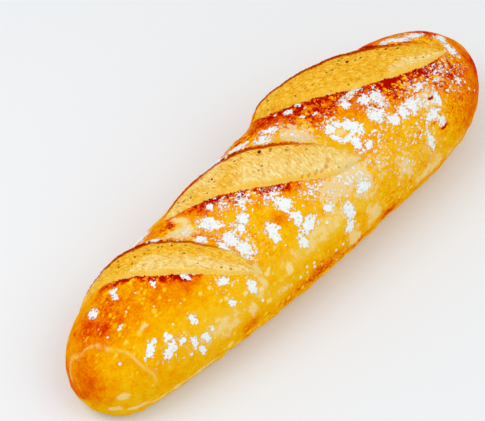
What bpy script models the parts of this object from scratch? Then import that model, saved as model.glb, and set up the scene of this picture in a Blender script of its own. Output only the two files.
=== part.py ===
"""One long loaf of crusty bread with three slanting slashes, lying on its flat base.

Metres. +X runs along the length towards the broad end, +Y towards the side where each slash
begins, +Z up. A place on the loaf is given by a station along the length, from -1 at the
narrow tip to +1 at the broad tip, and a turn about the long axis, 0 at the top and positive
towards +Y. The slashes are laid out flat on the crust, in metres along and metres of girth.
"""
import bpy
import bmesh
import numpy as np

# Body
LENGTH = 0.380          # tip to tip
WIDTH = 0.107           # at mid length
HEIGHT = 0.070          # at mid length, before the slashes swell
TAPER = 0.276           # share gained in width and height at the broad tip, lost at the narrow one
TIP_POWER = (10.6, 2.25)  # how long the body keeps its full section: narrow half, broad half
WAIST = 0.36            # height of the widest line, as a share of the height
WAIST_TIP = (0.30, 0.32)  # the same share at the narrow and the broad tip
UPPER_POWER = 2.2       # roundness of the section above the widest line
LOWER_POWER = 2.6       # roundness below it
SINK = 0.10             # share of the lower half pressed flat by the table
FOOT_BLEND = 0.0010     # rounding where the side meets the flat base
BOW = (-0.0029, 0.0053)  # sideways drift of the long axis: square and cube terms
SWELL = 0.0031          # gentle bulges along the -Y side
SWELL_AT = -0.062       # station of one bulge
SWELL_PITCH = 0.2435    # from one bulge to the next

# Slashes: back end and front end (along, degrees of turn), how far the low edge and the rim
# bow out from the line between them, height of the rim, and the lean of the three curves
GIRTH = 0.050           # metres of crust to one radian of turn
SLASHES = (
    {"back": (-0.1523, 83.1), "front": (-0.0626, -49.2), "low": 0.0107, "rim": 0.0105,
     "rise": 0.0063, "lean_low": 1.26, "lean_rim": 1.07, "lean_rise": 1.09},
    {"back": (-0.0770, 42.0), "front": (0.0378, -35.1), "low": 0.0084, "rim": 0.0188,
     "rise": 0.0089, "lean_low": 2.49, "lean_rim": 0.81, "lean_rise": 1.24},
    {"back": (0.0253, 59.2), "front": (0.1549, -15.1), "low": 0.0166, "rim": 0.0089,
     "rise": 0.0101, "lean_low": 0.93, "lean_rim": 1.51, "lean_rise": 0.51},
)
EDGE_POWER = 0.75       # how soon the edges part at the ends of a slash
RISE_POWER = 0.60       # how soon the rim lifts at the ends of a slash
END_EASE = 0.10         # share of a slash over which its rim starts and stops lifting
OVERRUN = 0.06          # how far the lift runs on beyond each end, as a share of the slash
LEAST_FACE = 0.006      # narrowest strip over which the face climbs
CROWN = 1.7             # how fast the opened face climbs from the low edge
BEHIND = 0.014          # reach of the fall from the rim to the crust behind it
CREASE = 0.0012         # depth of the groove along the low edge
CREASE_REACH = 0.0030   # how far the groove spreads over the crust in front
CREASE_POWER = 8        # how soon the groove ends on the face

# Mesh
AROUND = 72             # points in a ring, a multiple of eight
RINGS = 78
CROWDING = 0.42         # how much closer the points stand at the top than at the base
CAP_SIZE = (0.85, 0.53)  # share of the full section where each end cap begins: narrow, broad
EDGE_POINTS = (0.02, 0.98)  # share of each slash whose edges have points laid on them
NUDGE = 1e-4            # small change of station or turn, to measure a slope with
MOST_TURN = 0.1         # longest single move while looking for an edge
TRIES = 6               # moves made while looking for an edge


def pick(station, pair):
    """The first value on the narrow half of the loaf, the second on the broad half."""
    return np.where(station < 0, pair[0], pair[1])


def fullness(station):
    """Share of the full section that is left at a station."""
    return np.sqrt(np.clip(1 - np.abs(station) ** pick(station, TIP_POWER), 0, 1))


def station_of(full, broad):
    """The station where a given share of the full section is left."""
    power = TIP_POWER[1] if broad else TIP_POWER[0]
    side = 1 if broad else -1
    return side * (1 - full ** 2) ** (1 / power)


def body(station, turn):
    """Points of the loaf without its slashes."""
    full = fullness(station)
    size = 1 + TAPER * station
    height = HEIGHT * size
    waist = height * (WAIST + (pick(station, WAIST_TIP) - WAIST) * np.abs(station) ** 3)
    side, up = np.sin(turn), np.cos(turn)
    power = np.where(up > 0, UPPER_POWER, LOWER_POWER)
    reach = (np.abs(side) ** power + np.abs(up) ** power) ** (-1 / power)
    bulge = np.cos(2 * np.pi * (LENGTH / 2 * station - SWELL_AT) / SWELL_PITCH)
    y = WIDTH / 2 * size * full * reach * side - SWELL * bulge * np.maximum(-side, 0) * full
    y = y + BOW[0] * station ** 2 + BOW[1] * station ** 3
    depth = np.where(up > 0, (height - waist) * full, waist * full * (2 - full) * (1 + SINK))
    z = waist + reach * up * depth
    foot = np.where(z < -FOOT_BLEND, 0, (z + FOOT_BLEND) ** 2 / (4 * FOOT_BLEND))
    z = np.where(z < FOOT_BLEND, foot, z)
    return np.stack([LENGTH / 2 * station, y, z], -1)


def body_normal(station, turn):
    """Outward directions on the loaf without its slashes."""
    ahead, astern = np.clip(station + NUDGE, -1, 1), np.clip(station - NUDGE, -1, 1)
    along = body(ahead, turn) - body(astern, turn)
    around = body(station, turn + NUDGE) - body(station, turn - NUDGE)
    normal = np.cross(along, around)
    return normal / (np.linalg.norm(normal, axis=-1, keepdims=True) + 1e-15)


def lay_out(slash):
    """Start, length and unit directions of a slash on the flattened crust."""
    start = np.array([slash["back"][0], np.radians(slash["back"][1]) * GIRTH])
    end = np.array([slash["front"][0], np.radians(slash["front"][1]) * GIRTH])
    span = np.linalg.norm(end - start)
    forward = (end - start) / span
    return start, span, forward, np.array([-forward[1], forward[0]])


def slash_place(slash, station, turn):
    """Share of the way along a slash, and metres across it, towards the rim."""
    start, span, forward, across = lay_out(slash)
    x = LENGTH / 2 * station - start[0]
    g = GIRTH * turn - start[1]
    return (x * forward[0] + g * forward[1]) / span, x * across[0] + g * across[1]


def arch(share, lean, power):
    """A hump from 0 to 1 and back to 0, leaning to one end."""
    return np.maximum(np.sin(np.pi * np.clip(share, 0, 1) ** lean), 0) ** power


def ease(value):
    """0 below 0, 1 above 1, and a smooth step between."""
    share = np.clip(value, 0, 1)
    return share * share * (3 - 2 * share)


def slash_edges(slash, share):
    """Metres across the slash of its low edge and its rim."""
    low = -slash["low"] * arch(share, slash["lean_low"], EDGE_POWER)
    return low, slash["rim"] * arch(share, slash["lean_rim"], EDGE_POWER)


def rim_rise(slash, share):
    """Height of the rim over the body, from a little before the slash to a little after."""
    inner = np.clip(share, END_EASE, 1 - END_EASE)
    ends = ease((share + OVERRUN) / (END_EASE + OVERRUN))
    ends = ends * ease((1 + OVERRUN - share) / (END_EASE + OVERRUN))
    return slash["rise"] * arch(inner, slash["lean_rise"], RISE_POWER) * ends


def relief(station, turn):
    """Height of the slashes over the body."""
    total = np.zeros_like(turn)
    for slash in SLASHES:
        share, across = slash_place(slash, station, turn)
        low, rim = slash_edges(slash, share)
        middle, half = (low + rim) / 2, np.maximum(rim - low, LEAST_FACE) / 2
        low, rim = middle - half, middle + half
        rise = rim_rise(slash, share)
        groove = CREASE * arch(share, 1, 0.5)
        climb = np.clip((across - low) / (rim - low), 0, 1)
        face = rise * (1 - (1 - climb) ** CROWN) - groove * (1 - climb) ** CREASE_POWER
        ahead = -groove * np.exp(-np.maximum(low - across, 0) / CREASE_REACH)
        behind = rise * (1 - ease((across - rim) / BEHIND))
        height = np.where(across < low, ahead, np.where(across > rim, behind, face))
        total = np.where(np.abs(height) > np.abs(total), height, total)
    return total


def surface(station, turn):
    """Points of the finished loaf."""
    point = body(station, turn) + body_normal(station, turn) * relief(station, turn)[..., None]
    point[..., 2] = np.maximum(point[..., 2], 0)
    return point


def crowded(angle):
    """Turns for evenly numbered points, closer together at the top."""
    return angle - CROWDING * np.sin(angle)


def follow_edges(station, turn):
    """Slide the points nearest to a slash edge onto it, each along its own ring."""
    half_step = np.minimum(turn - np.roll(turn, 1, 1), np.roll(turn, -1, 1) - turn) * 0.5
    best = np.where(half_step > 0, half_step, 0)
    moved = turn.copy()
    for slash in SLASHES:
        for edge in (0, 1):
            guess = turn.copy()
            for _ in range(TRIES):
                share, across = slash_place(slash, station, guess)
                miss = across - slash_edges(slash, share)[edge]
                share, across = slash_place(slash, station, guess + NUDGE)
                slope = (across - slash_edges(slash, share)[edge] - miss) / NUDGE
                guess = guess - np.clip(miss / slope, -MOST_TURN, MOST_TURN)
            share, across = slash_place(slash, station, guess)
            shift = np.abs(guess - turn)
            near = (shift < best) & (share > EDGE_POINTS[0]) & (share < EDGE_POINTS[1])
            moved = np.where(near, guess, moved)
            best = np.where(near, shift, best)
    return moved


def body_rings():
    """Stations and turns of the rings between the two end caps."""
    station = np.linspace(station_of(CAP_SIZE[0], False), station_of(CAP_SIZE[1], True), RINGS)
    turn = crowded(np.linspace(-np.pi, np.pi, AROUND, endpoint=False))
    station, turn = np.meshgrid(station, turn, indexing="ij")
    return station, follow_edges(station, turn)


def better_diagonals(station, turn, grid):
    """For each four-sided cell, whether the diagonal from its first corner fits better."""
    following = np.roll(turn, -1, 1)
    following[:, -1] += 2 * np.pi
    corners = (station, turn), (station, following)
    middle = [(a[:-1] + a[1:] + b[:-1] + b[1:]) / 4 for a, b in zip(*corners)]
    centre = surface(*middle)
    after = np.roll(grid, -1, 1)
    first = np.linalg.norm((grid[:-1] + after[1:]) / 2 - centre, axis=-1)
    second = np.linalg.norm((after[:-1] + grid[1:]) / 2 - centre, axis=-1)
    return first < second


def cap_place(column, row, size):
    """Share of the cap and angle of one point of its square grid."""
    u, v = 2 * column / size - 1, 2 * row / size - 1
    if u == 0 and v == 0:
        return 0, 0
    if abs(u) >= abs(v):
        return abs(u), np.pi / 4 * v / u + (0 if u > 0 else np.pi)
    return abs(v), np.pi / 2 * np.sign(v) - np.pi / 4 * u / v


def add_cap(points, faces, first_of_ring, broad):
    """Close one end with a square grid drawn out to the last ring."""
    size = AROUND // 4
    index = {}
    for column in range(size + 1):
        for row in range(size + 1):
            share, angle = cap_place(column, row, size)
            if share == 1:
                step = round((angle + np.pi) / (2 * np.pi) * AROUND) % AROUND
                index[column, row] = first_of_ring + step
            else:
                angle = (angle + np.pi) % (2 * np.pi) - np.pi
                station = np.array(station_of(share * CAP_SIZE[broad], broad))
                index[column, row] = len(points)
                points.append(surface(station, np.array(crowded(angle))))
    for column in range(size):
        for row in range(size):
            a, b = index[column, row], index[column + 1, row]
            c, d = index[column + 1, row + 1], index[column, row + 1]
            if (column < size // 2) == (row < size // 2):
                faces.extend([(a, b, c), (a, c, d)])
            else:
                faces.extend([(a, b, d), (b, c, d)])


def loaf_mesh():
    """The closed skin of the loaf, centred over the origin and standing on z = 0."""
    station, turn = body_rings()
    grid = surface(station, turn)
    points = list(grid.reshape(-1, 3))
    crossed = better_diagonals(station, turn, grid)
    faces = []
    for ring in range(RINGS - 1):
        for step in range(AROUND):
            a, b = ring * AROUND + step, ring * AROUND + (step + 1) % AROUND
            c, d = b + AROUND, a + AROUND
            if crossed[ring, step]:
                faces.extend([(a, b, c), (a, c, d)])
            else:
                faces.extend([(a, b, d), (b, c, d)])
    add_cap(points, faces, 0, False)
    add_cap(points, faces, (RINGS - 1) * AROUND, True)
    points = np.array(points)
    low, high = points.min(0), points.max(0)
    points -= [(low[0] + high[0]) / 2, (low[1] + high[1]) / 2, low[2]]
    mesh = bpy.data.meshes.new("loaf")
    mesh.from_pydata(points.tolist(), [], faces)
    skin = bmesh.new()
    skin.from_mesh(mesh)
    bmesh.ops.recalc_face_normals(skin, faces=skin.faces)
    skin.to_mesh(mesh)
    skin.free()
    mesh.shade_smooth()
    return mesh


def crust_material():
    """Golden brown baked crust."""
    material = bpy.data.materials.new("crust")
    material.use_nodes = True
    shader = material.node_tree.nodes["Principled BSDF"]
    shader.inputs["Base Color"].default_value = (0.68, 0.33, 0.05, 1)
    shader.inputs["Roughness"].default_value = 0.6
    return material


for old in list(bpy.data.objects):
    bpy.data.objects.remove(old, do_unlink=True)
loaf = bpy.data.objects.new("loaf", loaf_mesh())
loaf.data.materials.append(crust_material())
bpy.context.scene.collection.objects.link(loaf)
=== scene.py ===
"""Looks of the loaf: golden crust, three opened slashes, blisters and a dusting of flour.

Metres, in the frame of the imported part. A place on the loaf is given by a station along the
length, from -1 at the narrow tip to +1 at the broad tip, and a turn about the long axis, 0 at
the top and positive towards +Y. "Along" is the distance from mid length, and "around" is the
distance round the crust from the top, GIRTH metres to a radian.
"""
import bpy
import numpy as np
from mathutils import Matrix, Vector


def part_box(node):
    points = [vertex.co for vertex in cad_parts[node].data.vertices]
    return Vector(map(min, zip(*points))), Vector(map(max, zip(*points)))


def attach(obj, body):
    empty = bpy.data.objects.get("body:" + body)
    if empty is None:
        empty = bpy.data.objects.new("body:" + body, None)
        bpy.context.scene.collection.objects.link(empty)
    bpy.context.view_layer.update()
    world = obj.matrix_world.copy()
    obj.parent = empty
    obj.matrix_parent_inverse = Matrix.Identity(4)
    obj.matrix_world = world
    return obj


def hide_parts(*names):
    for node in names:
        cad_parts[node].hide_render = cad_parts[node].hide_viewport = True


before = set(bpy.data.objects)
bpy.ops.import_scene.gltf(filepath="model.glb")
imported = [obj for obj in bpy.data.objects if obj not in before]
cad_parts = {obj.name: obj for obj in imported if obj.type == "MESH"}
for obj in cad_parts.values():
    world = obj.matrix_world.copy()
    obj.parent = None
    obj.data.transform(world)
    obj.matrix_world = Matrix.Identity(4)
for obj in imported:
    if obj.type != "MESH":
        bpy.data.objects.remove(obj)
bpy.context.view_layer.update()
MM = 0.001

# Body, as in the part
LENGTH = 0.38           # tip to tip
WIDTH = 0.107           # at mid length
HEIGHT = 0.07           # at mid length, before the slashes swell
TAPER = 0.276           # share gained in width and height at the broad tip
TIP_POWER = (10.6, 2.25)  # how long the body keeps its full section: narrow half, broad half
WAIST = 0.36            # height of the widest line, as a share of the height
WAIST_TIP = (0.3, 0.32)  # the same share at the tips
UPPER_POWER = 2.2       # roundness of the section above the widest line
LOWER_POWER = 2.6       # roundness below it
SINK = 0.1              # share of the lower half pressed flat
FOOT_BLEND = 0.001      # rounding where the side meets the flat base
BOW = (-0.0029, 0.0053)  # sideways drift of the long axis: square and cube terms
SWELL = 0.0031          # gentle bulges along the -Y side
SWELL_AT = -0.062       # place of one bulge along the loaf
SWELL_PITCH = 0.2435    # from one bulge to the next

# Slashes, as in the part: back end and front end (along, degrees of turn), how far the low edge
# and the rim bow out from the line between them, height of the rim, lean of the three curves
GIRTH = 0.05            # metres of crust to one radian of turn
SLASHES = (
    {"back": (-0.1523, 83.1), "front": (-0.0626, -49.2), "low": 0.0107, "rim": 0.0105,
     "rise": 0.0063, "lean_low": 1.26, "lean_rim": 1.07, "lean_rise": 1.09},
    {"back": (-0.077, 42.0), "front": (0.0378, -35.1), "low": 0.0084, "rim": 0.0188,
     "rise": 0.0089, "lean_low": 2.49, "lean_rim": 0.81, "lean_rise": 1.24},
    {"back": (0.0253, 59.2), "front": (0.1549, -15.1), "low": 0.0166, "rim": 0.0089,
     "rise": 0.0101, "lean_low": 0.93, "lean_rim": 1.51, "lean_rise": 0.51},
)
EDGE_POWER = 0.75       # how soon the edges part at the ends of a slash
RISE_POWER = 0.6        # how soon the rim lifts at the ends of a slash
END_EASE = 0.1          # share of a slash over which its rim starts and stops lifting
OVERRUN = 0.06          # how far the lift runs on beyond each end, as a share of the slash
LEAST_FACE = 0.006      # narrowest strip over which the face climbs
CROWN = 1.7             # how fast the opened face climbs from the low edge
BEHIND = 0.014          # reach of the fall from the rim to the crust behind it

# Finer relief of the slashes. Of all this the part has only a crease, and a deeper one
CREASE = 0.0007         # depth of the groove along the low edge
CREASE_REACH = 0.003    # how far the groove spreads over the crust in front
CREASE_POWER = 8        # how soon the groove ends on the face
ROLL = (0.0012, 0.0026, 0.0018)  # rolled skin just inside the low edge: height, middle, width
LIP = (0.0006, 0.0024, 0.0016)  # swollen crust just outside the low edge
EAR = (0.0007, 0.0006, 0.0012)  # raised crust just behind the rim
TUCK = (0.001, 0.0014)  # hollow just inside the rim: depth, reach
HOLD_POWER = 0.5        # how soon all of these start at the ends of a slash
EDGE_WAVER = 0.0007     # how far a hand-cut edge strays
WAVES = ((5.3, 1.0), (11.7, 0.6), (23.1, 0.4), (47.9, 0.22))  # of that waver: pitch, size
WAVE_SUM = 1.6          # about the most that the waves add up to
RAGGED = (0.004, 5)     # unevenness of the lip and the scorch: size, seed
LIP_RAGGED = 0.6        # how much of it the lip shows
SCORCH_RAGGED = 0.25    # how much of it the scorch shows
EDGE_SLACK = 0.00002    # points this near to an edge count as on it

# Scorched crust along each low edge and each rim: first and last share, amount and width
SCORCH_LOW = ((0.2, 0.76, 1.02, 0.0046), (0.04, 0.74, 0.75, 0.0062), (0, 0.98, 0.66, 0.008))
SCORCH_RIM = ((0.02, 0.66, 1.1, 0.002), (0.02, 0.8, 0.9, 0.001), (0.02, 0.84, 1.4, 0.0024))
SCORCH_FADE = 0.14      # share of a slash over which the scorch starts and stops
# Opened faces: how golden each is and up to which share, and the slant of its strands in degrees
GOLDEN = ((1.05, 0.5), (0.48, 0.5), (1.2, 0.82))
GRAIN = (8, 62, -6)
GOLD_BACK = 0.9         # gold at the back end, against that at the rim
GOLD_FROM = 0.25        # where the gold begins, as a share of the climb to the rim
GOLD_SPAN = 0.6         # share of the climb over which it grows

# Relief of the rest: noise layers with their height, size and seed
LUMPS = ((0.0007, 0.03, 1), (0.0003, 0.011, 2), (0.00018, 0.004, 3))
CRUMB_LUMPS = ((0.00025, 0.005, 7), (0.00015, 0.0022, 8))
LOW_LUMPS = ((0.0007, 0.006, 9),)
LOW_CRUST = (1.45, 0.25)  # rough crust near the base: turn where it begins, and its fade
# Height of each small mark at its middle
MARK_HEIGHTS = {"pit": -0.0009, "hollow": -0.0006, "fold": 0.0004, "fold_front": -0.0008}
FLAT_FADE = (0.0002, 0.002)  # height over the flat base where relief begins, and its fade
# Baking, from 0 pale to 1 scorched, and noise layers with their amount, size and seed
EVEN_BAKE = 0.44
BAKE_LUMPS = ((0.04, 0.03, 21), (0.04, 0.012, 22))
REAR = (0.7, 2.6, 0.5)  # rear side: first and last turn, and the fade inside them
REAR_BAKE = 0.12        # how much darker the rear side is
REAR_LUMPS = ((0.14, 0.032, 23), (0.08, 0.013, 24))
FLAKE_BAKE = 0.8        # how much darker the marks under the loose flakes are
# Zones, each with the value where it ends and the fade before that
CRUST_ZONE = (0, 0.002)  # crust: distance into a slash
FOOT_ZONE = ((0.0065, 0.004), (-0.02, 0.06))  # pale foot of the narrow half: height, along
UNDER_ZONE = (0.003, 0.003)  # underside: height
TOP_ZONE = ((1.9, 0.5), (0.183, 0.01))  # single specks of flour: turn and along, both ways

# Skin mesh
AROUND = 256            # points in a ring, a multiple of eight
RINGS = 350
CROWDING = 0.42         # how much closer the points stand at the top than at the base
CAP_SIZE = (0.85, 0.53)  # share of the full section where each end cap begins: narrow, broad
EDGE_POINTS = (0.02, 0.98)  # share of each slash whose edges have points laid on them
NUDGE = 1e-4            # small change of station or turn, to measure a slope with
MOST_TURN = 0.1         # longest single move while looking for an edge
TRIES = 6               # moves made while looking for an edge
# Large numbers that scatter the values of the random lattice
SCATTER = (73856093, 19349663, 83492791, 26544357)
REMIX = 1274126177

# Places on the crust are in mm along and around, with their reach both ways.
# Baking: the last number is how much darker or, below 0, paler
BAKED = (
    (-188, -6, 7, 62, 0.22), (-187, -22, 8, 36, 0.08), (-166, 18, 26, 30, 0.17), (-150, 26, 26, 20, 0.11),
    (-138, 0, 32, 22, 0.12), (-118, -16, 18, 14, 0.1), (-166, 26, 9, 10, 0.14), (-161, 9, 4, 4, 0.18),
    (-152, 2, 3, 3, 0.12), (-170, 40, 1.6, 3, 0.3), (-139, 36, 4, 4, 0.26), (-100, -16, 12, 5, 0.16),
    (-84, -73, 10, 6, 0.24), (-88, -84, 3, 9, 0.2), (-92, 42, 16, 12, 0.14), (-73, 33, 5, 5, 0.34),
    (-82, 6, 3.4, 3, 0.44), (-77, 3, 4, 3, 0.26), (-79, 27, 3, 4, 0.4), (-86, 34, 8, 8, 0.14),
    (-112, -7, 10, 7, 0.1), (-60, 18, 10, 9, 0.24), (-72, -8, 10, 8, 0.18), (-51, 15, 10, 5, 0.22),
    (-38, 4, 13, 5, 0.22), (-26, -8, 10, 4, 0.22), (-12, -16, 9, 4, 0.1), (5, -24, 9, 3, 0.14),
    (50, -27, 14, 7, 0.16), (-32, -25, 6, 5, 0.24), (-22, -79, 20, 7, 0.36), (-52, -80, 12, 6, 0.2),
    (16, -86, 14, 5, 0.3), (90, -86, 40, 5, 0.12), (47, -85, 7, 6, 0.38), (2, 44, 34, 12, 0.2),
    (26, 34, 14, 14, 0.38), (38, 18, 9, 9, 0.42), (52, 15, 14, 8, 0.42), (44, 6, 14, 8, 0.32),
    (66, 7, 9, 4, 0.34), (72, -6, 20, 12, 0.22), (96, -14, 16, 11, 0.3), (96, -4, 6, 4, 0.18),
    (128, -20, 18, 14, 0.28), (150, -30, 20, 14, 0.2), (150, -62, 26, 28, 0.3), (177, -48, 10, 22, 0.4),
    (183, 22, 9, 46, 0.22), (150, 38, 26, 12, 0.34), (165, 19, 7, 11, 0.46), (139, 13, 6, 6, 0.55),
    (124, 35, 4, 15, 0.5), (172, -8, 8, 24, 0.16), (-125, -31, 14, 12, -0.06), (-86, -8, 12, 8, -0.08),
    (-104, -50, 26, 12, -0.1), (-52, -50, 26, 12, -0.06), (0, -50, 30, 9, -0.12), (60, -50, 26, 10, -0.03),
)
# Pale stretched skin, with how much of it shows
PALE = (
    (-104, -57, 17, 9, 0.62), (-84, 16, 7, 7, 0.7), (-73, 24, 4, 9, 0.75), (-178, -57, 3, 5, 0.8),
    (-66, -46, 2.4, 11, 0.85), (16, 8, 8, 10, 0.5), (30, -34, 9, 12, 0.7), (31, -70, 7, 10, 0.75),
    (11, -75, 6, 9, 1), (-12, -49, 34, 7, 0.6), (-80, -61, 3.4, 6, 0.9), (68, -58, 10, 9, 0.55),
    (90, -78, 14, 9, 0.75), (148, 0, 8, 6, 0.35), (43, -10, 3.4, 3.4, 1), (-80, 14, 8, 9, 0.75),
    (-146, -16, 7, 2.4, 0.4), (-58, -64, 10, 5, 0.4), (-129, -54, 8, 6, 0.35), (-70, -54, 5, 6, 0.6),
    (120, -82, 18, 6, 0.35), (-150, -87, 14, 4, 1), (-171, -81, 8, 3, 0.9), (-128, -89, 14, 4, 0.8),
    (-183, -76, 3, 6, 0.8), (-100, -91, 14, 3, 0.6),
)
# Patches of flour. A fifth number turns the patch by degrees
FLOUR = (
    (-156, 27, 2.6, 4.8), (-138, 25, 2.6, 3), (-140, 20, 1.8, 3.6, -30), (-130, 54, 7, 6, -40),
    (-93, 54, 9, 9), (-14, 53, 8, 6), (-9, 24, 6, 3, -38), (-30, 32, 9, 2.6, -25), (5, 20, 5, 7.2, -30),
    (-97, 22, 3.4, 2.6, -50), (-151, -33, 3, 6.4, -42), (-141, -43, 3.6, 6.2, -48), (-138, -34, 2.2, 2.8),
    (-131, -44, 2.6, 3), (-125, -51, 2.2, 4.8), (-122, -62, 1.9, 5, 10), (-118, -36, 2.6, 3.4),
    (-117, -54, 2, 4.4, 15), (-111, -51, 1.6, 2.8), (-91, -45, 2, 2.4), (-87, -30, 3.2, 2.6, -30),
    (-74, -45, 2.6, 5.2), (-154, -2, 1.8, 1.8), (-120, 2, 1.8, 2.4), (-103, -10, 1.7, 4, 28),
    (-79, -2, 3.6, 3.4), (-73, -15, 2, 5.4), (-64, 4, 4.4, 7.6, 25), (-54, 14, 2.6, 2.4),
    (-65, -14, 5, 5.6), (-63, -24, 5, 6.4), (-54, -12, 2.8, 3.8), (-48, -9, 3.6, 4.4),
    (-40, -26, 4.4, 4.2, 30), (-42, -31, 2.8, 3.4), (-22, -20, 4.6, 5.2, 30), (-22, -31, 3, 5),
    (-18, -39, 7, 4), (-28, -45, 3, 4.6), (0, -40, 3.4, 2.4), (12, -52, 4.2, 6.8), (9, -62, 3.8, 5, -20),
    (-4, 36, 8, 2.8, -38), (17, 26, 6, 2.3, -48), (37, 26, 2.4, 3), (46, 26, 1.7, 2.2), (38, 15, 1.8, 1.4),
    (45, 10, 2, 1.3, -20), (40, -4.5, 3.4, 3.4), (47, -5, 3, 3.4), (37.5, -11, 2.4, 4.6),
    (44, -16.5, 5, 2.4), (49, -10, 2.2, 4), (53, -13, 4.6, 6.4, 20), (51, -28, 2.6, 2.6), (45, -23, 3, 5),
    (75, -4, 4, 3.4), (82, -9, 4.4, 7, -20), (71, -17, 4.4, 4.4, 20), (79, -27, 4.6, 3.6),
    (88, -26, 3.6, 4.6), (97, -26, 4.4, 4.4), (112, -21, 4, 2.2), (106, -41, 7.4, 2.8, 5),
    (118, -34, 2.8, 5.6, -25), (95, -54, 2.6, 6.2), (111, -48, 4, 3.6), (162.5, -13, 3.2, 10, -6),
    (168, 3, 3.2, 8, -20), (140, 23, 8, 4, -45), (154, 20, 7, 4), (63, 2, 3, 3.6), (144, -36, 2, 3.4),
    (30, -45, 5, 4), (122, 50, 5, 5),
)
# Small places that the flour missed
BARE = ((43, -10, 2.6, 2.6), (-62, -4, 2, 1.6), (76, -12, 2.2, 3))
# Sprinkled flour, with how closely the grains lie, and how much fine dust lies between them
POWDER = (
    (-81, 13, 10, 9, 0.56, 1.5), (-67, 6, 8, 11, 0.5, 0.3), (-38, 0, 11, 8, 0.74, 0.1),
    (-24, -10, 9, 7, 0.74, 0.2), (-48, 8, 8, 8, 0.6, 0.3), (17, -34, 18, 8, 0.54, 2.1),
    (-2, -24, 12, 7, 0.6, 0.2), (22, 6, 8, 14, 0.5, 2), (12, 22, 12, 5, 0.6, 0.3),
    (-30, 33, 13, 4, 0.6, 0.2), (31, -42, 8, 11, 0.54, 2), (44, 0, 9, 9, 0.5, 0.1),
    (74, 5, 10, 3, 0.85, 0.8), (75, -14, 10, 11, 0.7, 0.4), (56, -28, 20, 10, 0.5, 0),
    (98, -28, 16, 7, 0.8, 0.2), (110, -31, 11, 9, 0.72, 0.9), (108, -17, 14, 6, 0.6, 0.2),
    (134, -22, 20, 9, 0.6, 0.2), (138, -36, 15, 8, 0.42, 0), (86, -42, 30, 8, 0.44, 0),
    (68, -54, 10, 14, 0.3, 1), (92, -58, 12, 10, 0.26, 0.9), (50, -40, 14, 12, 0.42, 0.6),
    (153, -29, 9, 11, 0.36, 0), (167, 6, 6, 10, 0.55, 0.3), (134, 28, 8, 4, 0.9, 0.3),
    (150, 22, 12, 8, 0.6, 0.1), (-62, -18, 13, 18, 0.45, 0), (-86, -30, 10, 8, 0.45, 0),
    (-20, 46, 22, 8, 0.5, 0.2), (-140, -46, 16, 10, 0.25, 0), (30, 62, 34, 10, 0.55, 0.2),
    (118, 66, 30, 12, 0.5, 0.1), (-104, 70, 26, 9, 0.45, 0.1), (-24, 74, 30, 9, 0.4, 0),
)
# Crust whose baking is the most uneven
MOTTLED = (
    (50, 16, 26, 13, 1), (98, -12, 28, 12, 1), (152, 4, 10, 9, 0.9), (136, -24, 24, 14, 0.9),
    (-30, 6, 26, 8, 0.6), (-64, 8, 8, 11, 0.6), (-82, 24, 12, 11, 0.7), (160, 22, 26, 22, 0.6),
    (0, 42, 40, 14, 0.6), (-148, 18, 24, 18, 0.25), (60, 70, 120, 16, 0.5), (-22, -82, 44, 8, 0.6),
    (104, -50, 44, 16, 0.45), (24, -42, 44, 18, 0.3), (-58, -22, 26, 22, 0.3), (60, -72, 60, 14, 0.4),
    (-86, 4, 16, 18, 0.4), (-116, 8, 16, 16, 0.25),
)
# Holes torn in the crumb, made dark with painted shade
PITS = (
    (-6.5, 12, 1.7, 1.2), (-122, 34, 1, 0.8), (-112, 26, 0.9, 0.8), (-116.5, 25, 0.8, 0.9),
    (90.5, 20.5, 1.6, 1), (125, 8.5, 1.8, 0.7), (118, 12.5, 1.8, 0.7), (75, 24, 1.4, 0.6),
    (79, 22.5, 1.2, 0.5), (83, 21.5, 1.4, 0.5), (95, 18, 1.4, 0.5), (99, 17, 1.5, 0.5), (-55, 30, 1, 0.7),
    (-38, 25, 1.1, 0.8), (-94, 9, 1, 0.7),
)
# Shallow hollows in a curved row, with painted shade in them
HOLLOWS = (
    (0, -15.5, 2, 1), (4, -17.5, 2.2, 1.1), (8, -19.5, 2.2, 1.1), (12, -21, 2.4, 1.1), (16, -21, 2.2, 1.5),
    (19.5, -19, 1.6, 2.2),
)
# Curved scorch marks under two loose flakes: middle and radius
FLAKES = ((114, -27, 4.6), (110.5, -50.5, 3.4))
FLAKE_WIDTH = 1.0
FLAKE_ARC = 0.1         # how far below the middle an arc starts, as a share of the radius
# Blisters: seed, count, zone (middle and reach), and least and greatest radius
BLISTER_ZONES = (
    (11, 40, (-140, 4, 30, 26), (0.8, 2.2)), (12, 16, (-168, -10, 14, 40), (0.8, 1.6)),
    (13, 34, (46, 9, 20, 10), (1, 2.6)), (14, 14, (96, -14, 30, 8), (0.9, 2)),
    (15, 26, (-30, -82, 90, 9), (1.2, 3)), (16, 14, (-66, -54, 22, 14), (1.4, 3.4)),
    (18, 70, (-60, -58, 110, 24), (0.6, 1.6)), (19, 50, (70, -58, 90, 24), (0.6, 1.6)),
    (17, 60, (0, 70, 150, 30), (0.8, 2.4)),
)
BLISTER_HEIGHT = 0.3    # as a share of the radius
BLISTER_SQUASH = (0.8, 1.2)  # least and most that one is narrowed around the loaf
BLISTER_PALE = (0.3, 1)  # least and greatest paleness
# Single bubbles: place and radius
BUBBLES = (
    (-152, 12, 1.7), (-152, 8, 1.3), (-118, -7, 1.5), (-124, -9, 1.3), (-128, 2, 1.2), (-121, -15, 1),
    (-104, -26, 1.7), (-97, -27, 1.7), (-93, -40, 1.9), (-141, 4, 1.2), (-171, 20, 1.8), (-134, -2, 1.1),
    (-146, 22, 1), (-114, -22, 1.1), (-133, 12, 1.1), (-158, -6, 1.2),
)
BUBBLE_HEIGHT = 0.25    # as a share of the radius
DOME = (0.8, 1.6, 1.5)  # shape of all of these: power of the height, paleness and its fall
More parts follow.
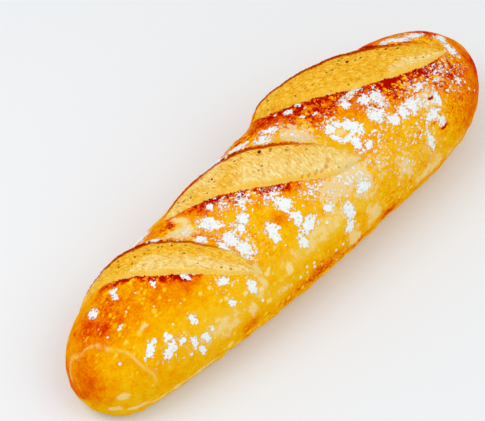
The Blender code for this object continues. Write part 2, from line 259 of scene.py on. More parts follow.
# Folds round the narrow tip: along at the top, slope and curve, and where they start and stop
FOLDS = ((-169.5, -0.33, -0.0022, -64, 22), (-173.5, -0.24, 0, 14, 62))
FOLD_WAVE = (0.7, 0.21)  # size and pitch of a fold's waver
FOLD_FADE = 8           # length over which a fold starts and stops
FOLD_WIDTH = 0.8
FOLD_FRONT = (4, 20, 16)  # sunken crust in front: reach of its start, its end, and its fade


def pick(station, pair):
    """The first value on the narrow half of the loaf, the second on the broad half."""
    return np.where(station < 0, pair[0], pair[1])


def fullness(station):
    """Share of the full section that is left at a station."""
    return np.sqrt(np.clip(1 - np.abs(station) ** pick(station, TIP_POWER), 0, 1))


def station_of(full, broad):
    """The station where a given share of the full section is left."""
    share = (1 - full ** 2) ** (1 / TIP_POWER[broad])
    return share if broad else -share


def body(station, turn):
    """Points of the loaf without its slashes."""
    full = fullness(station)
    size = 1 + TAPER * station
    height = HEIGHT * size
    waist = height * (WAIST + (pick(station, WAIST_TIP) - WAIST) * np.abs(station) ** 3)
    side, up = np.sin(turn), np.cos(turn)
    power = np.where(up > 0, UPPER_POWER, LOWER_POWER)
    reach = (np.abs(side) ** power + np.abs(up) ** power) ** (-1 / power)
    bulge = np.cos(2 * np.pi * (LENGTH / 2 * station - SWELL_AT) / SWELL_PITCH)
    y = WIDTH / 2 * size * full * reach * side - SWELL * bulge * np.maximum(-side, 0) * full
    y = y + BOW[0] * station ** 2 + BOW[1] * station ** 3
    depth = np.where(up > 0, (height - waist) * full, waist * full * (2 - full) * (1 + SINK))
    z = waist + reach * up * depth
    foot = np.where(z < -FOOT_BLEND, 0, (z + FOOT_BLEND) ** 2 / (4 * FOOT_BLEND))
    z = np.where(z < FOOT_BLEND, foot, z)
    return np.stack([LENGTH / 2 * station, y, z], -1)


def body_normal(station, turn):
    """Outward directions on the loaf without its slashes."""
    ahead, astern = np.clip(station + NUDGE, -1, 1), np.clip(station - NUDGE, -1, 1)
    along = body(ahead, turn) - body(astern, turn)
    around = body(station, turn + NUDGE) - body(station, turn - NUDGE)
    normal = np.cross(along, around)
    return normal / (np.linalg.norm(normal, axis=-1, keepdims=True) + 1e-15)


def lattice(cell, seed):
    """Repeatable values from -1 to 1 at whole-numbered places."""
    mixed = cell[..., 0] * SCATTER[0] ^ cell[..., 1] * SCATTER[1]
    mixed = mixed ^ cell[..., 2] * SCATTER[2] ^ seed * SCATTER[3]
    mixed = (mixed ^ mixed >> 13) * REMIX & 0x7FFFFFFF
    return (mixed >> 9 & 0xFFFF) / 32767.5 - 1


def noise(points, size, seed):
    """A smooth random field from -1 to 1 whose features have the given size."""
    scaled = points / size
    cell = np.floor(scaled).astype(np.int64)
    share = scaled - cell
    share = share * share * (3 - 2 * share)
    total = 0
    for corner in np.ndindex(2, 2, 2):
        weight = np.prod(np.where(corner, share, 1 - share), axis=-1)
        total = total + weight * lattice(cell + np.array(corner), seed)
    return total


def layers(points, rows):
    """Noise fields added up, each with its amount, size and seed."""
    return sum(amount * noise(points, size, seed) for amount, size, seed in rows)


def lay_out(slash):
    """Start, length and unit directions of a slash on the flattened crust."""
    start = np.array([slash["back"][0], np.radians(slash["back"][1]) * GIRTH])
    end = np.array([slash["front"][0], np.radians(slash["front"][1]) * GIRTH])
    span = np.linalg.norm(end - start)
    forward = (end - start) / span
    return start, span, forward, np.array([-forward[1], forward[0]])


def slash_place(slash, station, turn):
    """Share of the way along a slash, and metres across it, towards the rim."""
    start, span, forward, across = lay_out(slash)
    x = LENGTH / 2 * station - start[0]
    g = GIRTH * turn - start[1]
    return (x * forward[0] + g * forward[1]) / span, x * across[0] + g * across[1]


def arch(share, lean, power):
    """A hump from 0 to 1 and back to 0, leaning to one end."""
    return np.maximum(np.sin(np.pi * np.clip(share, 0, 1) ** lean), 0) ** power


def ease(value):
    """0 below 0, 1 above 1, and a smooth step between."""
    share = np.clip(value, 0, 1)
    return share * share * (3 - 2 * share)


def fading(value, end, span):
    """0 beyond the end value, and 1 from a span before it."""
    return ease((end - value) / span)


def window(value, first, last, span):
    """0 outside the first and last value, and 1 from a span inside them."""
    return ease((value - first) / span) * fading(value, last, span)


def turned(x, y, degrees):
    """Both parts of a vector after a turn."""
    angle = np.radians(degrees)
    return x * np.cos(angle) - y * np.sin(angle), x * np.sin(angle) + y * np.cos(angle)


def waver(share, seed):
    """A hand-cut edge's unevenness, from about -1 to 1."""
    return sum(size * np.sin(pitch * share * np.pi + seed * pitch) for pitch, size in WAVES) / WAVE_SUM


def slash_edges(slash, share):
    """Metres across the slash of its low edge and its rim."""
    seed = 1000 * slash["rise"]  # a number of its own for each slash
    uneven = EDGE_WAVER * arch(share, 1, HOLD_POWER)
    low = -slash["low"] * arch(share, slash["lean_low"], EDGE_POWER)
    rim = slash["rim"] * arch(share, slash["lean_rim"], EDGE_POWER)
    return low + uneven * waver(share, seed), rim + uneven * waver(share, seed + 2)


def rim_rise(slash, share):
    """Height of the rim over the body, from a little before the slash to a little after."""
    inner = np.clip(share, END_EASE, 1 - END_EASE)
    ends = window(share, -OVERRUN, 1 + OVERRUN, END_EASE + OVERRUN)
    return slash["rise"] * arch(inner, slash["lean_rise"], RISE_POWER) * ends


def ridge(distance, shape):
    """A low rounded ridge along an edge, at some distance from it."""
    height, middle, width = shape
    return height * np.exp(-((distance - middle) / width) ** 2)


def slash_relief(slash, share, across, ragged):
    """Height that a slash adds, and how far up the opened face each point is, from 0 to 1."""
    low, rim = slash_edges(slash, share)
    middle, half = (low + rim) / 2, np.maximum(rim - low, LEAST_FACE) / 2
    low, rim = middle - half, middle + half
    rise, hold = rim_rise(slash, share), arch(share, 1, HOLD_POWER)
    climb = np.clip((across - low) / (rim - low), 0, 1)
    tuck = TUCK[0] * np.exp(-np.maximum(rim - across, 0) / TUCK[1])
    fine = ridge(across - low, ROLL) - CREASE * (1 - climb) ** CREASE_POWER - tuck
    face = rise * (1 - (1 - climb) ** CROWN) + hold * fine
    groove = CREASE * np.exp(-np.maximum(low - across, 0) / CREASE_REACH)
    ahead = hold * (ridge(low - across, LIP) * (1 + LIP_RAGGED * ragged) - groove)
    behind = rise * (1 - ease((across - rim) / BEHIND)) + hold * ridge(across - rim, EAR)
    height = np.where(across > rim - EDGE_SLACK, behind, face)
    return np.where(across < low + EDGE_SLACK, ahead, height), climb


def scorched(share, distance, place):
    """How burnt the crust is at a distance from one edge of a slash."""
    first, last, amount, width = place
    return amount * window(share, first, last, SCORCH_FADE) * np.exp(-(distance / width) ** 3)


def goldenness(share, climb, amount, reach):
    """How golden the crumb is, most of all near the rim and the back end."""
    back = ease(2 * (reach - share) / reach)
    return amount * ease((climb + GOLD_BACK * back - GOLD_FROM) / GOLD_SPAN)


def slash_fields(station, turn):
    """What the slashes do at each point: their relief, and how far off their edges are."""
    zero = np.zeros_like(turn)
    fields = {"relief": zero, "scorch": zero, "open": zero - 1}
    ragged = noise(body(station, turn), *RAGGED)
    looks = zip(SLASHES, SCORCH_LOW, SCORCH_RIM, GOLDEN, GRAIN)
    for slash, scorch_low, scorch_rim, gold, slant in looks:
        share, across = slash_place(slash, station, turn)
        span = lay_out(slash)[1]
        low, rim = slash_edges(slash, share)
        below, above = np.maximum(low - across, 0), np.maximum(across - rim, 0)
        burnt = scorched(share, below * (1 + SCORCH_RAGGED * ragged), scorch_low)
        burnt = burnt * (across < low + EDGE_SLACK)
        burnt = burnt + scorched(share, above, scorch_rim) * (across > rim - EDGE_SLACK)
        fields["scorch"] = np.maximum(fields["scorch"], burnt)
        height, climb = slash_relief(slash, share, across, ragged)
        taller = np.abs(height) > np.abs(fields["relief"])
        fields["relief"] = np.where(taller, height, fields["relief"])
        beyond = np.maximum(np.maximum(-share, share - 1), 0) * span
        inside = np.minimum(across - low, rim - across) - beyond
        grain_x, grain_y = turned(share * span, across, slant)
        local = {
            "climb": climb, "share": share, "open": inside, "golden": goldenness(share, climb, *gold),
            "cut_x": share * span, "cut_y": across, "grain_x": grain_x, "grain_y": grain_y,
        }
        nearer = inside > fields["open"]
        for name, value in local.items():
            fields[name] = np.where(nearer, value, fields.get(name, 0))
    return fields


def crowded(angle):
    """Turns for evenly numbered points, closer together at the top."""
    return angle - CROWDING * np.sin(angle)


def follow_edges(station, turn):
    """Slide the points nearest to a slash edge onto it, each along its own ring."""
    half_step = np.minimum(turn - np.roll(turn, 1, 1), np.roll(turn, -1, 1) - turn) * 0.5
    best = np.where(half_step > 0, half_step, 0)
    moved = turn.copy()
    for slash in SLASHES:
        for edge in (0, 1):
            guess = turn.copy()
            for _ in range(TRIES):
                share, across = slash_place(slash, station, guess)
                miss = across - slash_edges(slash, share)[edge]
                share, across = slash_place(slash, station, guess + NUDGE)
                slope = (across - slash_edges(slash, share)[edge] - miss) / NUDGE
                guess = guess - np.clip(miss / slope, -MOST_TURN, MOST_TURN)
            share, across = slash_place(slash, station, guess)
            shift = np.abs(guess - turn)
            near = (shift < best) & (share > EDGE_POINTS[0]) & (share < EDGE_POINTS[1])
            moved = np.where(near, guess, moved)
            best = np.where(near, shift, best)
    return moved


def cap_place(column, row, size):
    """Share of the cap and angle of one point of its square grid."""
    u, v = 2 * column / size - 1, 2 * row / size - 1
    if u == 0 and v == 0:
        return 0, 0
    if abs(u) >= abs(v):
        return abs(u), np.pi / 4 * v / u + (0 if u > 0 else np.pi)
    return abs(v), np.pi / 2 * np.sign(v) - np.pi / 4 * u / v


def skin_grid():
    """Stations, turns and four-sided faces of the closed skin."""
    station = np.linspace(station_of(CAP_SIZE[0], False), station_of(CAP_SIZE[1], True), RINGS)
    turn = crowded(np.linspace(-np.pi, np.pi, AROUND, endpoint=False))
    station, turn = np.meshgrid(station, turn, indexing="ij")
    turn = follow_edges(station, turn)
    stations, turns = list(station.ravel()), list(turn.ravel())
    corner = np.arange((RINGS - 1) * AROUND).reshape(RINGS - 1, AROUND)
    beside = np.roll(corner, -1, 1)
    faces = np.stack([corner, beside, beside + AROUND, corner + AROUND], -1).reshape(-1, 4).tolist()
    size = AROUND // 4
    for broad in (False, True):
        first = (RINGS - 1) * AROUND if broad else 0
        index = {}
        for column, row in np.ndindex(size + 1, size + 1):
            share, angle = cap_place(column, row, size)
            step = round((angle + np.pi) / (2 * np.pi) * AROUND) % AROUND
            index[column, row] = first + step if share == 1 else len(stations)
            if share < 1:
                stations.append(station_of(share * CAP_SIZE[broad], broad))
                turns.append(crowded((angle + np.pi) % (2 * np.pi) - np.pi))
        for column, row in np.ndindex(size, size):
            ring = (column, row), (column + 1, row), (column + 1, row + 1), (column, row + 1)
            face = [index[place] for place in ring]
            faces.append(face if broad else face[::-1])
    return np.array(stations), np.array(turns), faces


def spot(along, around, x, g, reach_x, reach_g, slant=0):
    """A soft round bump, 1 at its middle. Its place and reach are in mm, its slant in degrees."""
    right, up = turned(along / MM - x, around / MM - g, -slant)
    return np.exp(-(right / reach_x) ** 2 - (up / reach_g) ** 2)


def nearest(along, around, places):
    """How near each point is to one of several places, from 0 far from all of them to 1."""
    return np.max([spot(along, around, *place) for place in places], axis=0)


def strongest(along, around, places):
    """The strongest of several soft bumps, each with its amount as the last number."""
    return np.max([amount * spot(along, around, *place) for *place, amount in places], axis=0)


def dome(far):
    """Height and paleness of a bubble, by the square of the distance from its middle in radii."""
    power, paleness, fall = DOME
    return np.maximum(1 - far, 0) ** power, ease(paleness - fall * far)


def blisters(along, around):
    """Height and paleness of the small bubbles in the crust."""
    height, pale = np.zeros_like(along), np.zeros_like(along)
    for x, g, radius in BUBBLES:
        rise, fade = dome(((along / MM - x) ** 2 + (around / MM - g) ** 2) / radius ** 2)
        height = np.maximum(height, BUBBLE_HEIGHT * radius * MM * rise)
        pale = np.maximum(pale, fade)
    for seed, count, (x, g, reach_x, reach_g), (least, most) in BLISTER_ZONES:
        draw = np.random.default_rng(seed)
        for _ in range(count):
            angle, out = draw.uniform(0, 2 * np.pi), np.sqrt(draw.uniform())
            radius = draw.uniform(least, most) * MM
            right = along - (x + reach_x * out * np.cos(angle)) * MM
            up = around - (g + reach_g * out * np.sin(angle)) * MM
            up = up * draw.uniform(*BLISTER_SQUASH)
            rise, fade = dome((right ** 2 + up ** 2) / radius ** 2)
            height = np.maximum(height, BLISTER_HEIGHT * radius * rise)
            pale = np.maximum(pale, draw.uniform(*BLISTER_PALE) * fade)
    return height, pale


def folds(along, around):
    """How near each point is to a fold round the narrow tip, 1 on it, and whether it is in front."""
    line, front = np.zeros_like(along), np.zeros_like(along)
    g = around / MM
    waves, pitch = FOLD_WAVE
    start, end, fade = FOLD_FRONT
    for at_top, slope, curve, first, last in FOLDS:
        ahead = along / MM - (at_top + slope * g + curve * g * g + waves * np.sin(g * pitch))
        held = window(g, first, last, FOLD_FADE)
        line = np.maximum(line, held * np.exp(-(ahead / FOLD_WIDTH) ** 2))
        front = np.maximum(front, held * ease(-ahead / start) * ease((ahead + end) / fade))
    return line, front


def flakes(along, around):
    """Thin scorched arcs under the near side of two loose flakes."""
    total = np.zeros_like(along)
    for x, g, radius in FLAKES:
        right, up = along / MM - x, around / MM - g
        arc = np.exp(-((np.hypot(right, up) - radius) / FLAKE_WIDTH) ** 2)
        total = np.maximum(total, arc * ease(-FLAKE_ARC - up / radius))
    return total


def crust_marks(along, around):
    """The small marks on crust and crumb, each as a field from 0 to 1, and the blisters' height."""
    height, pale = blisters(along, around)
    fold, fold_front = folds(along, around)
    return {
        "blister": height, "bubble": pale, "fold": fold, "fold_front": fold_front,
        "pit": nearest(along, around, PITS), "hollow": nearest(along, around, HOLLOWS),
        "flake": flakes(along, around),
    }


def skin_points(station, turn, slashes, marks):
    """Points of the finished skin."""
    base = body(station, turn)
    crust = fading(slashes["open"], *CRUST_ZONE)
    low_crust = ease((np.abs(turn) - LOW_CRUST[0]) / LOW_CRUST[1])
    height = slashes["relief"] + layers(base, LUMPS) + low_crust * layers(base, LOW_LUMPS)
    height = height + crust * marks["blister"] + (1 - crust) * layers(base, CRUMB_LUMPS)
    for name, amount in MARK_HEIGHTS.items():
        height = height + amount * marks[name]
    point = base + body_normal(station, turn) * height[..., None]
    free = ease((base[..., 2] - FLAT_FADE[0]) / FLAT_FADE[1])
    point[..., 2] = np.maximum(base[..., 2] * (1 - free) + point[..., 2] * free, 0)
    return point


def baking(base, along, around, turn):
    """How dark the crust is baked."""
    rear = window(turn, *REAR)
    bake = EVEN_BAKE + layers(base, BAKE_LUMPS) + rear * (REAR_BAKE + layers(base, REAR_LUMPS))
    for *place, amount in BAKED:
        bake = bake + amount * spot(along, around, *place)
    return bake


def skin_fields(station, turn):
    """Points of the finished skin, and the numbers and vectors its material needs at each."""
    along, around = LENGTH / 2 * station, GIRTH * turn
    base = body(station, turn)
    slashes = slash_fields(station, turn)
    marks = crust_marks(along, around)
    dusty = 1 - np.maximum(marks["flake"], nearest(along, around, BARE))
    grains = [(*place, close) for *place, close, _ in POWDER]
    film = [(*place, close * dust) for *place, close, dust in POWDER]
    fields = {
        "bake": baking(base, along, around, turn) + FLAKE_BAKE * marks["flake"],
        "pale": strongest(along, around, PALE),
        "flour": nearest(along, around, FLOUR) * dusty,
        "powder": strongest(along, around, grains) * dusty,
        "dust": strongest(along, around, film) * dusty,
        "mottled": strongest(along, around, MOTTLED),
        "open": slashes["open"] / MM,
        "foot": fading(base[..., 2], *FOOT_ZONE[0]) * fading(along, *FOOT_ZONE[1]),
        "under": fading(base[..., 2], *UNDER_ZONE),
        "top": fading(np.abs(turn), *TOP_ZONE[0]) * fading(np.abs(along), *TOP_ZONE[1]),
    }
    fields.update({name: slashes[name] for name in ("scorch", "climb", "share", "golden")})
    fields.update({name: marks[name] for name in ("bubble", "pit", "hollow", "fold")})
    zero = np.zeros_like(along)
    vectors = {
        "cut": np.stack([slashes["cut_x"], slashes["cut_y"], zero], -1),
        "grain": np.stack([slashes["grain_x"], slashes["grain_y"], zero], -1),
    }
    return skin_points(station, turn, slashes, marks), fields, vectors


def make_skin(material):
    """The loaf as one closed mesh with its fields stored at the points."""
    station, turn, faces = skin_grid()
    point, fields, vectors = skin_fields(station, turn)
    smooth = body(station, turn)
    shift = (np.sum(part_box("loaf"), axis=0) - smooth.min(0) - smooth.max(0)) / 2
    point = point + shift * (1, 1, 0)
    mesh = bpy.data.meshes.new("crust_and_crumb")
    mesh.from_pydata(point.tolist(), [], faces)
    mesh.update()
    for table, kind, part in ((fields, "FLOAT", "value"), (vectors, "FLOAT_VECTOR", "vector")):
        for name, values in table.items():
            layer = mesh.attributes.new(name, kind, "POINT")
            layer.data.foreach_set(part, values.astype(np.float32).ravel())
    mesh.shade_smooth()
    mesh.materials.append(material)
    skin = bpy.data.objects.new("crust_and_crumb", mesh)
    bpy.context.scene.collection.objects.link(skin)
    return skin


def colour(red, green, blue):
    """A screen colour, 0 to 255, as the linear one that the shader takes."""
    parts = (np.array([red, green, blue]) / 255).tolist()
    return tuple(part / 12.92 if part < 0.04045 else ((part + 0.055) / 1.055) ** 2.4 for part in parts) + (1,)


class Graph:
    """Wires the nodes of one material together."""

    def __init__(self, name):
        self.material = bpy.data.materials.new(name)
        self.material.use_nodes = True
        self.tree = self.material.node_tree
        self.shader = self.tree.nodes["Principled BSDF"]

    def put(self, socket, value):
        """Link a node's output to a socket, or set the socket's own value."""
        if isinstance(value, bpy.types.NodeSocket):
            self.tree.links.new(value, socket)
        else:
            socket.default_value = value

    def node(self, kind, inputs=(), **settings):
        """A new node with its settings and inputs."""
        node = self.tree.nodes.new(kind)
        for name, value in settings.items():
            setattr(node, name, value)
        for name, value in dict(inputs).items():
            self.put(node.inputs[name], value)
        return node

    def attribute(self, name):
        """A field stored on the mesh."""
        return self.node("ShaderNodeAttribute", attribute_name=name)

    def field(self, name):
        """A field of plain numbers stored on the mesh."""
        return self.attribute(name).outputs["Fac"]

    def math(self, operation, first, second=0.0, third=0.0, clamp=False):
        """One calculation with numbers."""
        inputs = {0: first, 1: second, 2: third}
        return self.node("ShaderNodeMath", inputs, operation=operation, use_clamp=clamp).outputs[0]

    def times(self, first, second, clamp=False):
        """A product."""
        return self.math("MULTIPLY", first, second, clamp=clamp)

    def line(self, value, factor, base, clamp=False):
        """A base number and a factor times the value."""
        return self.math("MULTIPLY_ADD", value, factor, base, clamp)

    def sway(self, base, noise, amount):
        """A base number, moved up and down by noise that runs from 0 to 1."""
        return self.line(self.math("SUBTRACT", noise, 0.5), amount, base)

    def step(self, value, start, end):
        """0 at the start value, 1 at the end value, smooth between."""
        inputs = {"Value": value, "From Min": start, "From Max": end}
        return self.node("ShaderNodeMapRange", inputs, interpolation_type="SMOOTHSTEP").outputs["Result"]

    def mix(self, share, first, second):
        """A blend of two colours."""
        return self.node("ShaderNodeMix", {0: share, 6: first, 7: second}, data_type="RGBA").outputs[2]

    def ramp(self, value, stops):
        """A colour ramp through its stops, each a place and a screen colour."""
        node = self.node("ShaderNodeValToRGB", {"Fac": value})
        while len(node.color_ramp.elements) < len(stops):
            node.color_ramp.elements.new(0.5)
        for element, (place, *shade) in zip(node.color_ramp.elements, stops):
            element.position = place
            element.color = colour(*shade)
        return node.outputs["Color"]

    def noise(self, vector, size, detail=2.0, roughness=0.5, swirl=0.0):
        """Fractal noise, 0 to 1, whose largest features have the given size in metres."""
        inputs = {"Vector": vector, "Scale": 1 / size, "Detail": detail, "Roughness": roughness,
                  "Distortion": swirl}
        return self.node("ShaderNodeTexNoise", inputs).outputs["Fac"]

    def cells(self, vector, size):
        """Scattered points: the distance to the nearest one, and three random numbers of its own."""
        node = self.node("ShaderNodeTexVoronoi", {"Vector": vector, "Scale": 1 / size})
        draw = self.node("ShaderNodeSeparateColor", {"Color": node.outputs["Color"]})
        return node.outputs["Distance"], draw.outputs

    def stretched(self, vector, slant, pull):
        """A vector turned about Z by degrees, then squeezed along X."""
        inputs = {"Vector": vector, "Rotation": (0, 0, np.radians(slant))}
        along = self.node("ShaderNodeMapping", inputs).outputs[0]
        return self.node("ShaderNodeMapping", {"Vector": along, "Scale": (1 / pull, 1, 1)}).outputs[0]


# Sizes of the material's random features. In the shaders below, a bare number is an amount, or
# the value of a field where a step starts or ends. Fields run from 0 to 1, but "open" is in mm
SPECK = 0.0013          # fine grain of everything
MOTTLE = 0.005          # soft unevenness of the crust
BLOTCH = 0.0034         # blotches where the crust is baked unevenly
TEETH = 0.0024          # teeth of the scorch along an edge
TORN = 0.002            # raggedness of the line between crust and crumb
STRAND = 0.0013         # torn strands of the crumb
CRUMB_CLUMP = 0.0048
SMEAR = 0.0075          # smears of gold in the crumb
PORE = 0.0018           # pitch of the holes in the crumb
FLOUR_CLUMP = 0.0024
FLOUR_GRAIN = 0.0023
FLOUR_SPECK = 0.0065    # pitch of the single specks
LACE = 0.0026           # holes in the film of dust
BUMP_HEIGHT = 0.0009    # of the finest relief
CRUST_IOR = 1.02        # low, as flour and crumb hardly shine
SHINE_TINT = (1.0, 0.62, 0.2, 1)

# Ramps through places with their screen colours
CRUST_SHADES = (
    (0, 250, 228, 170), (0.14, 249, 212, 104), (0.28, 247, 196, 44), (0.42, 246, 184, 2),
    (0.56, 242, 156, 0), (0.7, 234, 116, 0), (0.84, 220, 66, 0), (1, 170, 8, 0),
)
CRUMB_SHADES = (
    (0, 202, 124, 34), (0.22, 230, 166, 68), (0.42, 236, 190, 92), (0.6, 244, 206, 110),
    (0.8, 250, 222, 146), (1, 253, 236, 186),
)
GOLD_SHADES = (
    (0, 192, 92, 0), (0.3, 230, 146, 4), (0.55, 238, 172, 12), (0.8, 244, 192, 44), (1, 249, 212, 96),
)
RIM_SHADES = ((0, 236, 168, 16), (0.5, 214, 106, 0), (1, 170, 42, 0))
ROLL_SHADE = colour(254, 206, 66)
# painted shade inside the small pores
PORE_PAINTED_SHADE = colour(158, 74, 4)
# painted shade inside the torn holes
PIT_PAINTED_SHADE = colour(112, 28, 0)
# painted shade in the shallow hollows
HOLLOW_PAINTED_SHADE = colour(222, 148, 26)
PALE_SHADE = colour(246, 216, 140)
DUST_SHADE = colour(242, 214, 154)
FLOUR_SHADE = colour(241, 248, 252)
FOLD_SHADE = colour(250, 206, 100)
FOOT_SHADE = colour(250, 222, 150)
UNDER_SHADE = colour(200, 138, 60)
FLOOR_SHADE = (0.78, 0.8, 0.82, 1)
FLOOR_GLOW = (0.94, 0.98, 1.0, 1)
FLOOR_GLOW_STRENGTH = 0.06
FLOOR_ROUGHNESS = 0.9
FLOOR_HALF = 4.0        # half of the floor's width


def crust_shade(g, cut, place, speck, mottle):
    """Baked crust, from pale gold through orange to scorched red."""
    mottled = g.field("mottled")
    blotch = g.noise(place, BLOTCH, 3.0, 0.65)
    teeth = g.noise(g.stretched(cut, 90, 3.5), TEETH)
    bake = g.sway(g.field("bake"), mottle, 0.44)
    bake = g.sway(bake, speck, g.line(mottled, 1.5, 0.36))
    bake = g.sway(bake, blotch, g.times(mottled, 2.3))
    burnt = g.sway(g.line(g.step(teeth, 0.36, 0.52), 0.26, 0.34), blotch, 3.2)
    bake = g.line(g.field("scorch"), burnt, bake, clamp=True)
    shade = g.ramp(g.line(g.field("bubble"), -0.38, bake), CRUST_SHADES)
    fold = g.times(g.field("fold"), g.step(mottle, 0.32, 0.5))
    shade = g.mix(g.times(fold, 0.9), shade, FOLD_SHADE)
    foot = g.step(g.sway(g.field("foot"), mottle, 1.6), 0.45, 0.65)
    shade = g.mix(g.times(foot, 0.8), shade, FOOT_SHADE)
    return g.mix(g.times(g.field("under"), 0.8), shade, UNDER_SHADE)


def crumb_pores(g, cut):
    """Small holes in the crumb, most of them near the rim and the back end."""
    distance, draw = g.cells(g.stretched(cut, 0, 1.6), PORE)
    size = g.line(draw[0], 0.3, 0.08)
    hole = g.step(g.math("SUBTRACT", distance, size), 0.08, -0.08)
    common = g.times(g.step(g.field("climb"), 0.4, 0.95), g.step(g.field("share"), 0.95, 0.5))
    chosen = g.step(g.line(common, 0.5, draw[1]), 0.86, 0.92)
    return g.times(g.times(hole, chosen), g.step(g.field("open"), 0.9, 1.8))


def crumb_shade(g, cut, strands, pores):
    """Torn crumb, golden towards the rim and the back end, with rolled skin by the low edge."""
    climb, share, away = g.field("climb"), g.field("share"), g.field("open")
    clumps = g.noise(cut, CRUMB_CLUMP, 3.0, 0.6, 0.8)
    smears = g.noise(g.stretched(cut, -10, 2.2), SMEAR, 3.0, 0.6, 0.8)
    tone = g.sway(g.sway(0.63, strands, 2.2), clumps, 0.6)
    tone = g.line(g.step(share, 0.7, 0.98), 0.14, tone)
    golden = g.step(g.sway(g.field("golden"), smears, 1.6), 0.15, 0.85)
    shade = g.mix(g.times(golden, 0.92), g.ramp(tone, CRUMB_SHADES), g.ramp(tone, GOLD_SHADES))
    roll = g.times(g.step(away, 3.6, 1.8), g.step(climb, 0.45, 0.25))
    roll = g.times(roll, g.step(share, 0.05, 0.45))
    shade = g.mix(g.times(roll, g.line(clumps, 1.2, 0.15), clamp=True), shade, ROLL_SHADE)
    edge = g.times(g.step(away, 1.9, 0.0), g.step(climb, 0.5, 0.62))
    edge = g.times(edge, g.step(share, 0.9, 0.6))
    shade = g.mix(g.step(edge, 0.0, 0.35), shade, g.ramp(edge, RIM_SHADES))
    # painted shade inside the small pores of the crumb
    shade = g.mix(g.times(pores, 0.7), shade, PORE_PAINTED_SHADE)
    # painted shade in the shallow hollows
    hollow = g.step(g.sway(g.field("hollow"), strands, 1.0), 0.34, 0.8)
    shade = g.mix(g.times(hollow, 0.75), shade, HOLLOW_PAINTED_SHADE)
    # painted shade inside the torn holes
    return g.mix(g.step(g.field("pit"), 0.35, 0.65), shade, PIT_PAINTED_SHADE)


def pale_cover(g, speck, mottle):
    """Where pale stretched skin shows."""
    pale = g.sway(g.sway(g.field("pale"), mottle, 2.2), speck, 1.0)
    return g.times(g.step(pale, 0.2, 0.64), g.step(g.field("pale"), 0.04, 0.24))


def dust_cover(g, place, mottle):
    """Where a thin film of flour lies, full of holes like lace."""
    dust = g.sway(g.field("dust"), mottle, 1.2)
    dust = g.sway(dust, g.noise(place, LACE, 3.0, 0.65), 2.8)
    return g.times(g.step(dust, 0.26, 0.52), g.step(g.field("dust"), 0.02, 0.16))


def flour_specks(g, place):
    """A few separate specks of flour, wide apart."""
    distance, draw = g.cells(place, FLOUR_SPECK)
    size = g.times(g.step(draw[0], 0.5, 1.0), 0.2)
    return g.step(g.math("SUBTRACT", distance, size), 0.0, -0.05)


def flour_cover(g, place, speck, inside):
    """Where flour lies: ragged patches, sprinkled grains around them, and single specks."""
    flour, powder = g.field("flour"), g.field("powder")
    patch = g.sway(flour, g.noise(place, FLOUR_CLUMP, 4.0, 0.62), 2.8)
    patch = g.step(g.sway(patch, speck, 0.7), 0.31, 0.37)
    patch = g.times(patch, g.step(flour, 0.06, 0.18))
    grains = g.line(powder, 0.32, g.noise(place, FLOUR_GRAIN, 2.0, 0.75))
    grains = g.times(g.step(grains, 0.685, 0.715), g.step(powder, 0.02, 0.1))
    specks = g.times(flour_specks(g, place), g.field("top"))
    cover = g.math("MAXIMUM", g.math("MAXIMUM", patch, grains), specks)
    thick = g.step(g.line(g.field("mottled"), -0.11, speck), 0.28, 0.4)
    cover = g.times(cover, g.line(thick, 0.75, 0.25))
    return g.times(cover, g.line(inside, -0.9, 1.0))


def fine_bump(g, speck, mottle, strands, pores, inside, flour):
    """The relief that is too fine for the mesh."""
    relief = g.line(speck, 0.45, g.times(mottle, 0.4))
    relief = g.line(g.times(strands, inside), 0.8, relief)
    relief = g.line(g.times(pores, inside), -0.8, relief)
    relief = g.line(flour, 0.35, relief)
    bump = g.node("ShaderNodeBump", {"Height": relief, "Strength": 0.8, "Distance": BUMP_HEIGHT})
    return bump.outputs["Normal"]


def loaf_material():
    """Crust, crumb and flour, told apart by the fields of the mesh."""
    g = Graph("crust")
    place = g.node("ShaderNodeTexCoord").outputs["Object"]
    cut = g.attribute("cut").outputs["Vector"]
    grain = g.attribute("grain").outputs["Vector"]
    speck = g.noise(place, SPECK, 3.0, 0.6)
    mottle = g.noise(place, MOTTLE, 4.0, 0.6)
    strands = g.noise(g.stretched(grain, 0, 2.4), STRAND, 3.0, 0.72, 0.8)
    torn = g.noise(g.stretched(cut, 90, 3.0), TORN)
    border = g.sway(g.field("open"), torn, g.line(g.field("climb"), -2.0, 2.6))
    inside = g.step(border, -0.2, 0.2)
    pores = crumb_pores(g, cut)
    flour = flour_cover(g, place, speck, inside)
    shade = crust_shade(g, cut, place, speck, mottle)
    shade = g.mix(inside, shade, crumb_shade(g, cut, strands, pores))
    shade = g.mix(g.times(pale_cover(g, speck, mottle), 0.88), shade, PALE_SHADE)
    dust = g.times(dust_cover(g, place, mottle), g.line(inside, -0.75, 0.82))
    shade = g.mix(g.times(flour, 0.96), g.mix(dust, shade, DUST_SHADE), FLOUR_SHADE)
    rough = g.line(inside, 0.25, g.line(mottle, 0.1, 0.5))
    g.put(g.shader.inputs["Base Color"], shade)
    g.put(g.shader.inputs["Roughness"], g.line(flour, 0.4, rough, clamp=True))
    g.put(g.shader.inputs["IOR"], CRUST_IOR)
    g.put(g.shader.inputs["Specular Tint"], SHINE_TINT)
    g.put(g.shader.inputs["Normal"], fine_bump(g, speck, mottle, strands, pores, inside, flour))
    return g.material


def floor_material():
    """Plain pale studio floor, lit a little from within."""
    g = Graph("pale_floor")
    g.put(g.shader.inputs["Base Color"], FLOOR_SHADE)
    g.put(g.shader.inputs["Roughness"], FLOOR_ROUGHNESS)
    g.put(g.shader.inputs["Emission Color"], FLOOR_GLOW)
    g.put(g.shader.inputs["Emission Strength"], FLOOR_GLOW_STRENGTH)
    return g.material


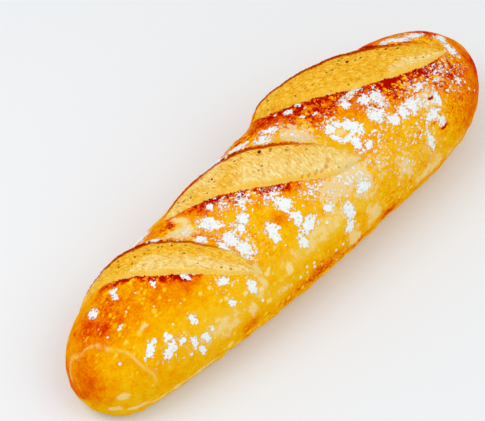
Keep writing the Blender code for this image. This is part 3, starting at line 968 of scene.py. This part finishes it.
def make_floor():
    """A pale floor under the loaf."""
    mesh = bpy.data.meshes.new("floor")
    half = FLOOR_HALF
    corners = [(-half, -half, 0), (half, -half, 0), (half, half, 0), (-half, half, 0)]
    mesh.from_pydata(corners, [], [(0, 1, 2, 3)])
    mesh.materials.append(floor_material())
    floor = bpy.data.objects.new("floor", mesh)
    bpy.context.scene.collection.objects.link(floor)


def look(thing, place, target):
    """Place a lamp or a camera and turn it to a target."""
    thing.location = place
    thing.rotation_euler = (Vector(target) - Vector(place)).to_track_quat("-Z", "Y").to_euler()
    bpy.context.scene.collection.objects.link(thing)


# The photograph's view, in degrees, metres and mm of lens
AZIMUTH = -47.26
ELEVATION = 50.0
DISTANCE = 1.2
TARGET = (-0.0221, 0.0136, 0.03)
LENS = 135.8
SENSOR = 36             # width of the sensor that the lens is given for
NEAR_CLIP = 0.05
# Lamps: name, place, width and power, and the place that they all point at
LAMPS = (("key", (-0.52, 0.36, 0.95), 0.8, 3.2), ("fill", (0.3, -0.85, 1.2), 1.0, 3.9))
LIT_PLACE = (0, 0, 0.02)
SURROUND = 0.73         # brightness of the pale surround


def make_camera():
    """The photograph's view."""
    azimuth, elevation = np.radians(AZIMUTH), np.radians(ELEVATION)
    flat, up = np.cos(elevation), np.sin(elevation)
    back = np.array([np.sin(azimuth) * flat, -np.cos(azimuth) * flat, up])
    camera = bpy.data.objects.new("camera", bpy.data.cameras.new("camera"))
    camera.data.sensor_width = SENSOR
    camera.data.lens = LENS
    camera.data.clip_start = NEAR_CLIP
    look(camera, tuple(TARGET + back * DISTANCE), TARGET)
    bpy.context.scene.camera = camera


def make_lights():
    """Soft key light from the left, a weaker fill farther off, and a pale surround."""
    for name, place, width, power in LAMPS:
        lamp = bpy.data.lights.new(name, "AREA")
        lamp.shape = "DISK"
        lamp.size = width
        lamp.energy = power
        look(bpy.data.objects.new(name, lamp), place, LIT_PLACE)
    world = bpy.data.worlds.new("surround")
    world.use_nodes = True
    sky = world.node_tree.nodes["Background"].inputs
    sky["Color"].default_value = (1, 1, 1, 1)
    sky["Strength"].default_value = SURROUND
    bpy.context.scene.world = world


skin = make_skin(loaf_material())
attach(skin, "root")
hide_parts("loaf")
make_floor()
make_lights()
make_camera()
bpy.context.scene.view_settings.view_transform = "Standard"
